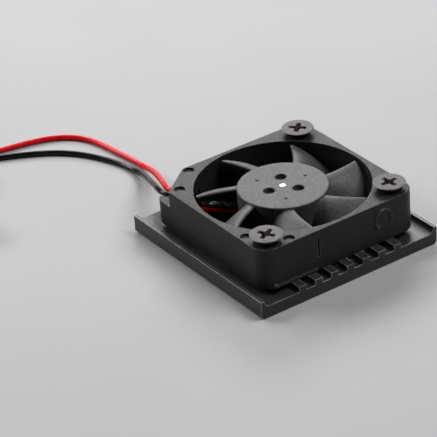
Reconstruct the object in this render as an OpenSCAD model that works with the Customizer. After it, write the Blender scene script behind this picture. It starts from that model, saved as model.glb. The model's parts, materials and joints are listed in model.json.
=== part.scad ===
// Small axial fan screwed on a low finned heat sink, with its two-wire lead.
// Units are millimetres. Z points up, and Z = 0 is the underside of the heat sink.
// X runs across the fins, Y runs along them, and the lead leaves towards +Y.

/* [Heat sink] */
// Room beside the fan, out to the edge of each side lip
side_margin = 2.25; // [2:0.25:6]
// Room in front of the fan
front_margin = 2.1; // [1.5:0.1:6]
// Room behind the fan, on the lead's side
back_margin = 2.9; // [1.5:0.1:6]
// Thickness of the plate under the fins
plate_t = 2.1; // [1.6:0.1:4]
// Height of the fins above the plate
fin_h = 0.9; // [0.6:0.1:2]
// Thickness of one fin
fin_w = 1.45; // [0.8:0.05:1.6]
// Channel between two fins
fin_gap = 1.65; // [1.2:0.05:1.8]
// Number of fins between the side flats
fin_count = 7; // [3:2:7]
// Flat width on top of each side lip
lip_w = 0.65; // [0.4:0.05:1]
// Height of the side lips above the plate
lip_h = 1.05; // [0.6:0.05:1.6]
// Rounding of the two long bottom edges
sink_edge_r = 0.7; // [0.3:0.1:1]

/* [Fan frame] */
// Side of the square frame
fan_side = 30; // [29:0.5:36]
// Height of the frame
fan_h = 7; // [6.8:0.1:10]
// Rounding of the upright corners
corner_r = 2.5; // [1.5:0.1:3]
// Wall between the air passage and the middle of each side
rim_wall = 0.75; // [0.6:0.05:1]
// Distance from a screw hole's axis to the sides beside it
hole_inset = 3; // [2.8:0.1:3.2]
// Diameter of the screw holes
hole_d = 3.3; // [3.2:0.05:3.4]
// Thickness of the plate that carries the motor
base_t = 1.35; // [1.3:0.05:1.6]
// Width of the plain struts
strut_w = 1.4; // [1:0.1:2.4]
// Height of the plain struts
strut_h = 1.1; // [0.8:0.1:1.3]
// Direction of the strut that carries the lead
lead_angle = 130; // [126:1:134]
// Height of the corner column that the lead leaves over
lead_post_h = 4.2; // [4:0.1:5]
// How far the cut corner reaches along the frame's sides
chop_x = 6; // [5:0.1:6.5]
chop_y = 4.7; // [4.5:0.1:5]

/* [Impeller] */
// Diameter of the hub
hub_d = 14.8; // [14.6:0.1:18]
// Wall of the hub
hub_wall = 0.6; // [0.5:0.05:0.8]
// Gap between the blade tips and the air passage
tip_gap = 0.45; // [0.3:0.05:1]
// Number of blades
blade_count = 7; // [5:1:9]
// Thickness of a blade
blade_t = 0.55; // [0.4:0.05:0.7]
// Angle that one blade covers
blade_span = 28; // [22:1:32]
// How far the tips lead the roots
blade_sweep = 7.4; // [0:0.2:10]
// Direction of the first blade's root
blade_start = 92.5; // [0:0.5:360]

/* [Motor] */
// Diameter of the shaft
shaft_d = 1; // [0.9:0.05:1.2]
// Radial running clearance of the shaft
shaft_gap = 0.02; // [0.01:0.01:0.04]
// Outer diameter of the bearing sleeve
sleeve_d = 2.3; // [2.1:0.1:2.4]
// Outer diameter of the bearing tube
tube_d = 3.2; // [3:0.1:3.6]
// Radial gap between the magnet and the stator stack
air_gap = 0.3; // [0.2:0.05:0.5]
// Height of the stator stack
stator_h = 1.5; // [1.2:0.1:1.6]
// Number of stator poles
pole_count = 4; // [4:2:4]
// Radial gap between the magnet and the driver board
board_gap = 0.3; // [0.2:0.05:0.5]

/* [Screws] */
// Diameter of a screw head
head_d = 5.3; // [5:0.1:5.6]
// Diameter of a screw shank
shank_d = 2.9; // [2.6:0.05:2.95]
// How far above the underside of the heat sink a screw ends
screw_end = 1.1; // [0:0.1:1.5]

/* [Lead] */
// Diameter of each insulated wire
wire_d = 0.95; // [0.8:0.05:1.15]
// Gap between the two wires inside the fan
wire_gap = 0.15; // [0.1:0.05:0.2]
// Width of the two-way plug
plug_w = 6; // [5.6:0.1:7]
// Length of the plug
plug_l = 7.7; // [6:0.1:9]
// Height of the plug
plug_h = 4.5; // [4:0.1:5]
// Distance between the plug's two ways
plug_pitch = 2; // [2:0.1:2.5]
// Thickness of the tie around the coil
tie_t = 0.15; // [0.1:0.01:0.2]
// Width of the tie
tie_w = 1.6; // [1:0.1:3]

/* [Hidden] */

$fn = 96;
eps = 0.01;

// Heat sink around the fan; the fan sits a little towards the front edge
sink_w = fan_side + 2 * side_margin;
sink_l = fan_side + front_margin + back_margin;
fan_y = (front_margin - back_margin) / 2;
fan_z = plate_t + fin_h;
fin_pitch = fin_w + fin_gap;

// Plan of the frame and the impeller
half = fan_side / 2;
hole_at = half - hole_inset;
duct_r = half - rim_wall;
hub_r = hub_d / 2;
tip_r = duct_r - tip_gap;

// Heights inside the fan, above its underside
hub_top = fan_h - 0.07;
hub_top_t = 0.65;
rotor_gap = 0.35;
rotor_bottom = base_t + rotor_gap;
blade_low = rotor_bottom + 0.05;
blade_high = fan_h - 0.4;
seat_h = 0.15;
board_z = base_t + seat_h;
board_t = 0.4;
board_top = board_z + board_t;
label_t = 0.13;
label_pocket = 0.15;
yoke_t = 0.4;
magnet_t = 0.8;
yoke_bottom = rotor_bottom + 0.1;
yoke_top = hub_top - hub_top_t;
magnet_bottom = yoke_bottom + 0.1;
magnet_top = yoke_top - yoke_t - 0.4;
stack_z = board_top + 1.3;
stack_top = stack_z + stator_h;
coil_over = 0.55;
insulator_t = 0.2;
tube_top = stack_top + 0.4;
ring_t = 0.15;
sleeve_z = 1.15;
sleeve_top = tube_top - ring_t - 0.05;
washer_z = sleeve_z - ring_t - 0.05;
clip_z = washer_z - ring_t - 0.05;
shaft_low = clip_z - 0.25;
boss_r = 1.3;
boss_low = tube_top + 0.2;

// Three balance holes through the hub's top, and three gate dimples in it
balance_at = 2.7;
balance_d = 1.9;
dimple_at = 4.45;
dimple_d = 0.7;
dimple_deep = 0.15;

// Radii inside the motor
yoke_r = hub_r - hub_wall;
magnet_r = yoke_r - yoke_t;
stator_r = magnet_r - magnet_t - air_gap;
board_r = magnet_r - magnet_t - board_gap;
tube_r = tube_d / 2;
shaft_r = shaft_d / 2;
shoe_t = 0.65;
shoe_slot = 1.8;
arm_w = 1.3;
arm_end = stator_r - shoe_t - 0.05;
core_r = tube_r + 0.7;

// Small moulded features of the frame
ledge_from = 2;
ledge_l = 8.2;
ledge_out = 0.25;
ledge_h = 0.6;
ejector_d = 1.9;
ejector_deep = 0.35;

// Strut and corner passage of the lead
wire_r = wire_d / 2;
wire_pitch = wire_d + wire_gap;
trough_floor = 0.35;
trough_top = 2.5;
trough_w = wire_d + wire_pitch + 0.15;
wire_z = trough_floor + wire_r + 0.025;
wire_start = board_r - 0.85;
slot_w = trough_w + 1;
pin_r = 0.2;
pin_at = wire_start - pin_r;

// Screws: the cone rests on the rim of the hole, so the head stands proud
head_rim = 0.1;
head_proud = head_rim + (head_d - hole_d) / 2;
head_top = fan_h + head_proud;
screw_l = fan_z + head_top - screw_end;
recess_w = 0.75;
recess_l = 3;
recess_deep = 1.25;
SCREWS = [[-1, -1, 25], [1, -1, 2], [1, 1, 42]];

// Coil of wire behind the left side, two wires wide and two high, lifted by its tie
coil_at = [-34, 50.6];
coil_mid_r = 5.7;
coil_half_w = wire_d + 0.05;
coil_lift = tie_t + 0.02;
coil_h = 2 * wire_d;
tie_gap = 0.02;
tie_twist_r = 0.3;
tie_twist_l = 2.6;

// Plug beside the coil
plug_at = [-39.7, 41.5];
plug_wire_z = 2.25;

// Routes of the two free wires: out of the corner, down, along the surface, to the coil
RED_ROUTE = [[-10.5, 13, 5.5], [-11.1, 13.9, 6.3], [-11.4, 15, 6.7], [-11.3, 16.3, 6.6],
    [-10.5, 18.2, 6.1], [-9.5, 20.4, 5.4], [-8.5, 22.7, 4.6], [-7.5, 25, 3.8],
    [-6.5, 27.3, 2.9], [-5.6, 29.7, 2], [-4.9, 32.1, 1.1], [-4.6, 34.6, 0.6],
    [-4.6, 37.1, 0.48], [-4.9, 39.6, 0.48], [-5.2, 42.1, 0.48], [-5.5, 44.6, 0.48],
    [-6, 47.1, 0.48], [-6.9, 49.4, 0.48], [-8.4, 51.4, 0.48], [-10.4, 52.9, 0.48],
    [-12.7, 53.9, 0.48], [-15.1, 54.6, 0.48], [-17.6, 55.1, 0.48], [-20.1, 55.6, 0.48],
    [-22.9, 56.2, 0.8], [-25.7, 56.6, 1.35], [-28.5, 56.8, 1.6], [-31.3, 56.8, 1.6]];
BLACK_ROUTE = [[-11.3, 12.3, 5.5], [-12.1, 13.2, 6.3], [-12.6, 14.3, 6.7], [-12.7, 15.7, 6.6],
    [-12.2, 17.6, 6.2], [-11.3, 19.8, 5.5], [-10.4, 22.1, 4.7], [-9.4, 24.4, 3.8],
    [-8.4, 26.7, 2.9], [-7.5, 29, 2], [-6.8, 31.4, 1.1], [-6.5, 33.8, 0.6],
    [-6.7, 36.3, 0.48], [-7.3, 38.7, 0.48], [-8.2, 41.1, 0.48], [-9.3, 43.4, 0.48],
    [-10.7, 45.6, 0.48], [-12.4, 47.6, 0.48], [-14.4, 49.3, 0.48], [-16.6, 50.8, 0.48],
    [-18.9, 52.1, 0.48], [-21.3, 53.3, 0.48], [-23.8, 54.5, 0.5], [-26.4, 55.6, 0.6],
    [-28.9, 56.4, 0.65], [-31.3, 56.8, 0.65]];
RED_TAIL = [[-40.2, 50.6, 2.58], [-40.2, 48.6, 2.58], [-40.3, 46.6, 2.4], [-40.5, 44.8, 2.2],
    [-40.7, 43, 2.2], [-40.7, 41.5, 2.25], [-40.7, 40, 2.25]];
BLACK_TAIL = [[-39.2, 50.6, 2.58], [-39.2, 48.6, 2.58], [-39.1, 46.6, 2.4], [-38.9, 44.8, 2.2],
    [-38.7, 43, 2.2], [-38.7, 41.5, 2.25], [-38.7, 40, 2.25]];

module at_fan() {
    translate([0, fan_y, fan_z]) children();
}

// Tube swept along a list of points, closed at both ends
function unit(v) = v / norm(v);
function heading(p, i) =
    unit(p[min(i + 1, len(p) - 1)] - p[max(i - 1, 0)]);
function side_of(t) = unit(cross(t, [0, 0, 1]));
function ring(p, i, r, n) =
    let (t = heading(p, i), s = side_of(t), u = cross(s, t))
    [for (k = [0:n - 1]) p[i] + r * (cos((k + 0.5) * 360 / n) * s + sin((k + 0.5) * 360 / n) * u)];
function tube_faces(rows, n) = concat(
    [[for (k = [0:n - 1]) k]],
    [[for (k = [n - 1:-1:0]) (rows - 1) * n + k]],
    [for (i = [0:rows - 2], k = [0:n - 1]) [i * n + k, (i + 1) * n + k, (i + 1) * n + (k + 1) % n]],
    [for (i = [0:rows - 2], k = [0:n - 1]) [i * n + k, (i + 1) * n + (k + 1) % n, i * n + (k + 1) % n]]);
module swept(p, r, n = 8) {
    polyhedron([for (i = [0:len(p) - 1]) each ring(p, i, r, n)], tube_faces(len(p), n));
}

// ---------------------------------------------------------------- heat sink

module lip_profile() {
    difference() {
        translate([sink_w / 2 - lip_w - lip_h, plate_t / 2])
            square([lip_w + lip_h, plate_t / 2 + lip_h]);
        translate([sink_w / 2 - lip_w - lip_h, plate_t + lip_h]) circle(lip_h);
    }
}

module sink_profile() {
    translate([-sink_w / 2, sink_edge_r]) square([sink_w, plate_t - sink_edge_r]);
    translate([-sink_w / 2 + sink_edge_r, 0]) square([sink_w - 2 * sink_edge_r, plate_t]);
    for (s = [-1, 1]) translate([s * (sink_w / 2 - sink_edge_r), sink_edge_r]) circle(sink_edge_r);
    for (i = [0:fin_count - 1])
        translate([(i - (fin_count - 1) / 2) * fin_pitch - fin_w / 2, plate_t - eps])
            square([fin_w, fin_h + eps]);
    lip_profile();
    mirror([1, 0]) lip_profile();
}

module heat_sink() {
    color([0.1, 0.1, 0.11]) difference() {
        rotate([90, 0, 0]) linear_extrude(sink_l, center = true) sink_profile();
        for (s = SCREWS)
            translate([s[0] * hole_at, fan_y + s[1] * hole_at, -1])
                cylinder(d = shank_d + 0.1, h = fan_z + 2);
    }
}

// ---------------------------------------------------------------- fan frame

module rounded_block(side, r, h) {
    translate([-side / 2 + r, -side / 2, 0]) cube([side - 2 * r, side, h]);
    translate([-side / 2, -side / 2 + r, 0]) cube([side, side - 2 * r, h]);
    for (x = [-1, 1], y = [-1, 1])
        translate([x * (side / 2 - r), y * (side / 2 - r), 0]) cylinder(r = r, h = h);
}

module strut(angle, w, h, from, to) {
    rotate([0, 0, angle]) translate([from, -w / 2, 0]) cube([to - from, w, h]);
}

module frame_body() {
    difference() {
        rounded_block(fan_side, corner_r, fan_h);
        translate([0, 0, -1]) cylinder(r = duct_r, h = fan_h + 2);
    }
    cylinder(r = hub_r - 0.1, h = base_t);
    for (k = [1:3]) strut(lead_angle + 90 * k, strut_w, strut_h, hub_r - 1, duct_r + 0.4);
    strut(lead_angle, trough_w + 1.1, base_t, hub_r - 1, duct_r + 0.4);
    cylinder(r = tube_r, h = tube_top);
    cylinder(r = core_r, h = board_z);
    // sloped ledge along the foot of the front wall
    translate([-half + ledge_from, -half, 0]) rotate([90, 0, 90]) linear_extrude(ledge_l)
        polygon([[0.2, 0], [-ledge_out, 0], [-ledge_out, ledge_h / 2], [0, ledge_h], [0.2, ledge_h]]);
}

// Corner cut above the lead, and the slot that the lead rises through
module lead_cutouts() {
    translate([-half, half - chop_y, lead_post_h]) rotate([0, 0, atan2(chop_y, chop_x)])
        translate([-fan_side, 0, 0]) cube([2 * fan_side, fan_side, fan_h]);
    rotate([0, 0, lead_angle]) {
        translate([wire_start - 0.6, -trough_w / 2, trough_floor])
            cube([duct_r - wire_start + 1, trough_w, trough_top - trough_floor]);
        translate([duct_r - 0.4, -slot_w / 2, trough_floor])
            cube([fan_side, slot_w, lead_post_h - trough_floor + eps]);
    }
}

// Round shallow sinks that the mould's ejector pins leave
module ejector_marks() {
    spots = [[-half + 1.15, -half + 5.9], [-half + 5.9, -half + 1.15],
        [-half + 1.8, half - 5.2], [-half + 6.4, half - 1.15]];
    for (p = spots) translate([p[0], p[1], fan_h - ejector_deep]) cylinder(d = ejector_d, h = 1);
}

module fan_frame() {
    color([0.13, 0.13, 0.14]) at_fan() difference() {
        frame_body();
        for (s = SCREWS)
            translate([s[0] * hole_at, s[1] * hole_at, -1])
                cylinder(d = hole_d, h = fan_h + 2);
        lead_cutouts();
        ejector_marks();
        // narrow upright slot in the front wall
        translate([-4.6, -half - 1, 2.3]) cube([0.4, 1 + rim_wall / 2 - 0.025, 3.4]);
        translate([0, 0, -1]) cylinder(r = hub_r - 0.8, h = 1 + label_pocket);
        translate([0, 0, -1]) cylinder(d = sleeve_d, h = fan_h);
    }
}

module screw() {
    cone_z = head_top - head_rim - (head_d - shank_d) / 2;
    difference() {
        union() {
            translate([0, 0, head_top - screw_l]) cylinder(d = shank_d, h = cone_z - head_top + screw_l);
            translate([0, 0, cone_z]) cylinder(d1 = shank_d, d2 = head_d, h = (head_d - shank_d) / 2);
            translate([0, 0, head_top - head_rim]) cylinder(d = head_d, h = head_rim);
        }
        translate([0, 0, head_top - recess_deep]) linear_extrude(recess_deep + 1)
            for (a = [0, 90]) rotate(a) square([recess_l, recess_w], center = true);
    }
}

module fan_screws() {
    color([0.2, 0.19, 0.19]) at_fan() for (s = SCREWS)
        translate([s[0] * hole_at, s[1] * hole_at, 0]) rotate([0, 0, s[2]]) screw();
}

module hub_label() {
    color([0.72, 0.73, 0.75]) at_fan() translate([0, 0, label_pocket - label_t])
        cylinder(r = hub_r - 0.95, h = label_t);
}

// ---------------------------------------------------------------- motor

module collar(r_in, r_out, z, h) {
    translate([0, 0, z]) difference() {
        cylinder(r = r_out, h = h);
        translate([0, 0, -1]) cylinder(r = r_in, h = h + 2);
    }
}

module bearing_sleeve() {
    color([0.6, 0.42, 0.24]) at_fan()
        collar(shaft_r + shaft_gap, sleeve_d / 2, sleeve_z, sleeve_top - sleeve_z);
}

module oil_ring() {
    color([0.1, 0.1, 0.1]) at_fan() collar(shaft_r + 0.06, sleeve_d / 2, sleeve_top, ring_t);
}

module thrust_washer() {
    color([0.85, 0.83, 0.76]) at_fan() collar(shaft_r + 0.05, sleeve_d / 2, washer_z, ring_t);
}

module pole_arms(w, to) {
    for (k = [0:pole_count - 1]) rotate([0, 0, k * 360 / pole_count + 45])
        translate([tube_r + 0.2, -w / 2]) square([to - tube_r - 0.2, w]);
}

module stator_stack() {
    color([0.5, 0.51, 0.53]) at_fan() translate([0, 0, stack_z]) linear_extrude(stator_h)
        difference() {
            union() {
                circle(core_r);
                pole_arms(arm_w, stator_r - 0.4);
                // pole shoes, with a slot between each two
                difference() {
                    circle(stator_r);
                    circle(stator_r - shoe_t);
                    for (k = [0:pole_count - 1]) rotate([0, 0, k * 360 / pole_count])
                        translate([0, -shoe_slot / 2]) square([stator_r + 1, shoe_slot]);
                }
            }
            circle(tube_r);
        }
}

module insulator(z, up) {
    collar(tube_r, core_r, up ? z : z - coil_over, coil_over);
    translate([0, 0, up ? z : z - insulator_t]) linear_extrude(insulator_t) difference() {
        pole_arms(arm_w + 0.3, arm_end);
        circle(tube_r);
    }
    for (k = [0:pole_count - 1]) rotate([0, 0, k * 360 / pole_count + 45])
        translate([arm_end - 0.25, -1.2, up ? z : z - coil_over]) cube([0.25, 2.4, coil_over]);
}

module upper_insulator() {
    color([0.9, 0.9, 0.86]) at_fan() insulator(stack_top, true);
}

module lower_insulator() {
    color([0.9, 0.9, 0.86]) at_fan() insulator(stack_z, false);
}

module stator_coils() {
    coil_from = core_r + 0.2;
    coil_l = arm_end - 0.3 - coil_from;
    hole_w = arm_w + 0.34;
    hole_h = stator_h + 2 * insulator_t + 0.04;
    color([0.7, 0.36, 0.16]) at_fan() for (k = [0:pole_count - 1])
        rotate([0, 0, k * 360 / pole_count + 45])
            translate([coil_from, 0, stack_z + stator_h / 2]) rotate([0, 90, 0])
                linear_extrude(coil_l) difference() {
                    square([hole_h + 2 * 0.3, hole_w + 2 * 0.45], center = true);
                    square([hole_h, hole_w], center = true);
                }
}

module driver_board() {
    color([0.1, 0.34, 0.2]) at_fan() difference() {
        collar(tube_r + 0.05, board_r, board_z, board_t);
        for (s = [-1, 1]) rotate([0, 0, lead_angle])
            translate([pin_at, s * wire_pitch / 2, board_z - 1]) cylinder(r = pin_r + 0.05, h = 3);
    }
}

module driver_chip() {
    leg = 0.4;
    body_l = 1.5;
    body_w = 2.9;
    color([0.07, 0.07, 0.08]) at_fan() rotate([0, 0, lead_angle + 90])
        translate([board_r - 0.7 - leg - body_l, 0, board_top]) {
            translate([0, -body_w / 2, 0]) cube([body_l, body_w, 0.55]);
            // two legs on the inside and one on the outside
            for (y = [-0.95, 0.95]) translate([-leg, y - leg / 2, 0]) cube([leg + eps, leg, 0.15]);
            translate([body_l - eps, -leg / 2, 0]) cube([leg, leg, 0.15]);
        }
}

module filter_capacitor() {
    color([0.55, 0.42, 0.3]) at_fan() rotate([0, 0, lead_angle + 180])
        translate([board_r - 2.3, -0.8, board_top]) cube([0.8, 1.6, 0.5]);
}

module solder_joints() {
    color([0.78, 0.79, 0.8]) at_fan() for (s = [-1, 1]) rotate([0, 0, lead_angle])
        translate([pin_at, s * wire_pitch / 2, 0]) {
            translate([0, 0, wire_z - pin_r]) cylinder(r = pin_r, h = board_top - wire_z + 0.4);
            translate([0, 0, board_top]) cylinder(r1 = 0.45, r2 = pin_r, h = 0.25);
        }
}

// ---------------------------------------------------------------- rotor

// A blade: its root and tip follow different camber curves, steep at the outlet
function root_r() = hub_r - hub_wall / 2;
function camber(f) = 3 - 1.75 * f;
function blade_r(f) = root_r() + (tip_r - root_r()) * f;
function blade_a(f, u) = blade_start + blade_sweep * f - blade_span * u;
function blade_z(f, u) =
    blade_high - blade_t / 2 - (blade_high - blade_low - blade_t) * pow(u, camber(f));
function blade_slope(f, u) =
    let (ds = blade_r(f) * blade_span * PI / 180,
         dz = (blade_high - blade_low - blade_t) * camber(f) * pow(max(u, 0.02), camber(f) - 1))
    unit([ds, dz]);
function blade_point(f, u, s) =
    let (n = blade_slope(f, u), r = blade_r(f),
         a = blade_a(f, u) - s * blade_t / 2 * n[1] / r * 180 / PI)
    [r * cos(a), r * sin(a), blade_z(f, u) + s * blade_t / 2 * n[0]];
RADIAL = 3;
CHORD = 6;
function spot(s, i, j) = (s * (RADIAL + 1) + i) * (CHORD + 1) + j;
function two_sided(a, b, c, d) = [[a, b, c], [a, c, d]];
module blade() {
    points = [for (s = [1, -1], i = [0:RADIAL], j = [0:CHORD])
        blade_point(i / RADIAL, j / CHORD, s)];
    skin = [for (i = [0:RADIAL - 1], j = [0:CHORD - 1]) each concat(
        two_sided(spot(0, i, j), spot(0, i + 1, j), spot(0, i + 1, j + 1), spot(0, i, j + 1)),
        two_sided(spot(1, i, j), spot(1, i, j + 1), spot(1, i + 1, j + 1), spot(1, i + 1, j)))];
    ends = [for (j = [0:CHORD - 1]) each concat(
        two_sided(spot(0, 0, j), spot(0, 0, j + 1), spot(1, 0, j + 1), spot(1, 0, j)),
        two_sided(spot(0, RADIAL, j + 1), spot(0, RADIAL, j), spot(1, RADIAL, j), spot(1, RADIAL, j + 1)))];
    edges = [for (i = [0:RADIAL - 1]) each concat(
        two_sided(spot(0, i + 1, 0), spot(0, i, 0), spot(1, i, 0), spot(1, i + 1, 0)),
        two_sided(spot(0, i, CHORD), spot(0, i + 1, CHORD), spot(1, i + 1, CHORD), spot(1, i, CHORD)))];
    polyhedron(points, concat(skin, ends, edges));
}

module impeller() {
    color([0.12, 0.12, 0.13]) at_fan() difference() {
        union() {
            difference() {
                translate([0, 0, rotor_bottom]) cylinder(r = hub_r, h = hub_top - rotor_bottom);
                translate([0, 0, rotor_bottom - 1])
                    cylinder(r = yoke_r, h = yoke_top - rotor_bottom + 1);
            }
            translate([0, 0, boss_low]) cylinder(r = boss_r, h = yoke_top - boss_low + eps);
            for (k = [0:blade_count - 1]) rotate([0, 0, k * 360 / blade_count]) blade();
        }
        translate([0, 0, boss_low - 1]) cylinder(r = shaft_r, h = fan_h);
        for (a = [60, 180, 300]) rotate([0, 0, a]) translate([balance_at, 0, yoke_top - 1])
            cylinder(d = balance_d, h = hub_top_t + 2);
        for (a = [0, 120, 240]) rotate([0, 0, a]) translate([dimple_at, 0, hub_top - dimple_deep])
            cylinder(d = dimple_d, h = 1);
    }
}

module rotor_yoke() {
    color([0.45, 0.45, 0.47]) at_fan() difference() {
        translate([0, 0, yoke_bottom]) cylinder(r = yoke_r, h = yoke_top - yoke_bottom);
        translate([0, 0, yoke_bottom - 1])
            cylinder(r = magnet_r, h = yoke_top - yoke_t - yoke_bottom + 1);
        cylinder(r = boss_r + 0.05, h = fan_h);
    }
}

module rotor_magnet() {
    color([0.2, 0.2, 0.21]) at_fan()
        collar(magnet_r - magnet_t, magnet_r, magnet_bottom, magnet_top - magnet_bottom);
}

module rotor_shaft() {
    color([0.85, 0.85, 0.86]) at_fan() translate([0, 0, shaft_low])
        cylinder(r = shaft_r, h = hub_top - shaft_low);
}

module shaft_clip() {
    color([0.7, 0.7, 0.72]) at_fan() collar(shaft_r, shaft_r + 0.45, clip_z, ring_t);
}

// ---------------------------------------------------------------- lead

// Inside the fan each wire lies in the trough of its strut, then rises in the corner slot
module inner_wire(side, meet) {
    along = [cos(lead_angle), sin(lead_angle)];
    across = side * wire_pitch / 2 * [along[1], -along[0]];
    steps = [[wire_start, wire_z], [(wire_start + duct_r) / 2, wire_z], [duct_r + 0.05, wire_z],
        [duct_r + 1.15, wire_z + 0.25], [duct_r + 1.95, wire_z + 0.85]];
    at_fan() swept(concat([for (s = steps) [each s[0] * along + across, s[1]]],
        [meet - [0, fan_y, fan_z]]), wire_r);
}

module red_wire_inner() {
    color([0.85, 0.06, 0.08]) inner_wire(1, RED_ROUTE[0]);
}

module black_wire_inner() {
    color([0.05, 0.05, 0.05]) inner_wire(-1, BLACK_ROUTE[0]);
}

module red_wire() {
    color([0.85, 0.06, 0.08]) swept(RED_ROUTE, wire_r);
    color([0.85, 0.06, 0.08]) swept(RED_TAIL, wire_r);
}

module black_wire() {
    color([0.05, 0.05, 0.05]) swept(BLACK_ROUTE, wire_r);
    color([0.05, 0.05, 0.05]) swept(BLACK_TAIL, wire_r);
}

module wire_coil() {
    color([0.3, 0.06, 0.07]) translate([coil_at[0], coil_at[1], coil_lift]) rotate_extrude()
        translate([coil_mid_r - coil_half_w, 0]) square([2 * coil_half_w, coil_h]);
}

// Twist tie around the coil, with its twisted end pointing away from the coil
module coil_tie() {
    in_w = 2 * (coil_half_w + tie_gap + 0.1);
    in_h = coil_h + 2 * tie_gap;
    color([0.1, 0.1, 0.1]) translate([coil_at[0], coil_at[1] - coil_mid_r, coil_lift - tie_gap]) {
        difference() {
            translate([-tie_w / 2, -in_w / 2 - tie_t, -tie_t]) cube([tie_w, in_w + 2 * tie_t, in_h + 2 * tie_t]);
            translate([-tie_w, -in_w / 2, 0]) cube([2 * tie_w, in_w, in_h]);
        }
        translate([0, -in_w / 2 - eps, in_h / 2]) rotate([90, 0, 0]) cylinder(r = tie_twist_r, h = tie_twist_l);
    }
}

module plug_housing() {
    color([0.88, 0.87, 0.82]) translate([plug_at[0], plug_at[1] - plug_l, 0]) difference() {
        union() {
            translate([-plug_w / 2, 0, 0]) cube([plug_w, plug_l, plug_h]);
            // latch rib on each side
            for (s = [-1, 1]) translate([s * (plug_w / 2) - 0.3, plug_l - 3, 0.8]) cube([0.6, 2, 0.8]);
        }
        for (s = [-1, 1]) translate([s * plug_pitch / 2, 0, plug_wire_z]) {
            translate([-0.7, -1, -0.9]) cube([1.4, plug_l - 0.5, 1.8]);
            translate([0, plug_l + 1, 0]) rotate([90, 0, 0]) cylinder(r = wire_r + 0.12, h = 3);
        }
    }
}

module plug_terminals() {
    end_y = RED_TAIL[len(RED_TAIL) - 1][1];
    color([0.75, 0.72, 0.6]) for (s = [-1, 1])
        translate([plug_at[0] + s * plug_pitch / 2, end_y - 5, plug_wire_z]) difference() {
            translate([-0.6, 0, -0.75]) cube([1.2, 5, 1.5]);
            translate([-0.4, -1, -0.5]) cube([0.8, 4, 1]);
        }
}

heat_sink();
fan_frame();
fan_screws();
hub_label();
bearing_sleeve();
oil_ring();
thrust_washer();
stator_stack();
upper_insulator();
lower_insulator();
stator_coils();
driver_board();
driver_chip();
filter_capacitor();
solder_joints();
impeller();
rotor_yoke();
rotor_magnet();
rotor_shaft();
shaft_clip();
red_wire_inner();
black_wire_inner();
red_wire();
black_wire();
wire_coil();
coil_tie();
plug_housing();
plug_terminals();
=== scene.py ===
import json
import math

import bmesh
import bpy
from mathutils import Matrix, Vector

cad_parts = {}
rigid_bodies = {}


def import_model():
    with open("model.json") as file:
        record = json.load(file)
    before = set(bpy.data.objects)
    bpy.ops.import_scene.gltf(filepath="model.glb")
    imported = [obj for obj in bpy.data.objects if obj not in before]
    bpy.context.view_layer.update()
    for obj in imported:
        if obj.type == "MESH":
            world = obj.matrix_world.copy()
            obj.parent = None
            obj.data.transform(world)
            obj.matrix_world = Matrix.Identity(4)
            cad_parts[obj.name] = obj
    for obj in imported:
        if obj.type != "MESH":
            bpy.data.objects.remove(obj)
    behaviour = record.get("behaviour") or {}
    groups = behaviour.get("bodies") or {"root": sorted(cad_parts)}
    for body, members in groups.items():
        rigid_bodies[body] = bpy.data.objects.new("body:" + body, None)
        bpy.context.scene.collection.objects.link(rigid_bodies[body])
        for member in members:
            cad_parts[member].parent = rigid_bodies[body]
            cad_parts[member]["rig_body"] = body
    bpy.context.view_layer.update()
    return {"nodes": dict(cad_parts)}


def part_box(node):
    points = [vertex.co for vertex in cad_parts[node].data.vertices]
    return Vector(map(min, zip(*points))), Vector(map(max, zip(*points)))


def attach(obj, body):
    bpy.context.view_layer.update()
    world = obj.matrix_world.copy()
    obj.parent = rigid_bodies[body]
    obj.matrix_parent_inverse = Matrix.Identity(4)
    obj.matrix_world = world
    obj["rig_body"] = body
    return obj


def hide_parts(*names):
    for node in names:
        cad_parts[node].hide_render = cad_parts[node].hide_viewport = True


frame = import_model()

# Small axial fan screwed on a low finned heat sink, with its two-wire lead, coil and plug.
# Lengths are in millimetres and turn into metres where a mesh is made.
MM = 0.001


def box_mm(node):
    """Lowest and highest corner of a CAD node, in millimetres."""
    low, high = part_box(node)
    return low / MM, high / MM


# ------------------------------------------------------------------ sizes from the frame
fan_low, fan_high = box_mm("fan_frame")
rotor_low, rotor_high = box_mm("impeller")
shaft_low, shaft_high = box_mm("rotor_shaft")
screw_low, screw_high = box_mm("fan_screws")
plug_low, plug_high = box_mm("plug_housing")
tie_low, tie_high = box_mm("coil_tie")
yoke_top = box_mm("rotor_yoke")[1].z

FAN_SIDE = fan_high.x - fan_low.x
FAN_X = (fan_low.x + fan_high.x) / 2
FAN_Y = fan_high.y - FAN_SIDE / 2
FAN_Z = fan_low.z
FAN_TOP = fan_high.z

# Sizes that the nodes' boxes don't give. HOLE_INSET is from the fan's sides to its screw holes, and
# LEAD_ANGLE is the direction of the strut that carries the wires.
HOLE_INSET = 3.0
HUB_R = 7.4
HUB_WALL = 0.6
BLADE_TIP_R = 13.8
BLADES = 7
WIRE_D = 0.95
LEAD_ANGLE = math.radians(130)


# ------------------------------------------------------------------ camera
CAMERA_ANGLES = (-33.142, 30.418, -4.322)    # azimuth, elevation and roll in degrees
CAMERA_OFFSET = (-10.19, -5.387, 398.25)     # right, up and back from the middle of the fan's top
CAMERA_LENS = 206.85
SENSOR_WIDTH = 36
CLIP_RANGE = (0.01, 20)                      # metres


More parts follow.
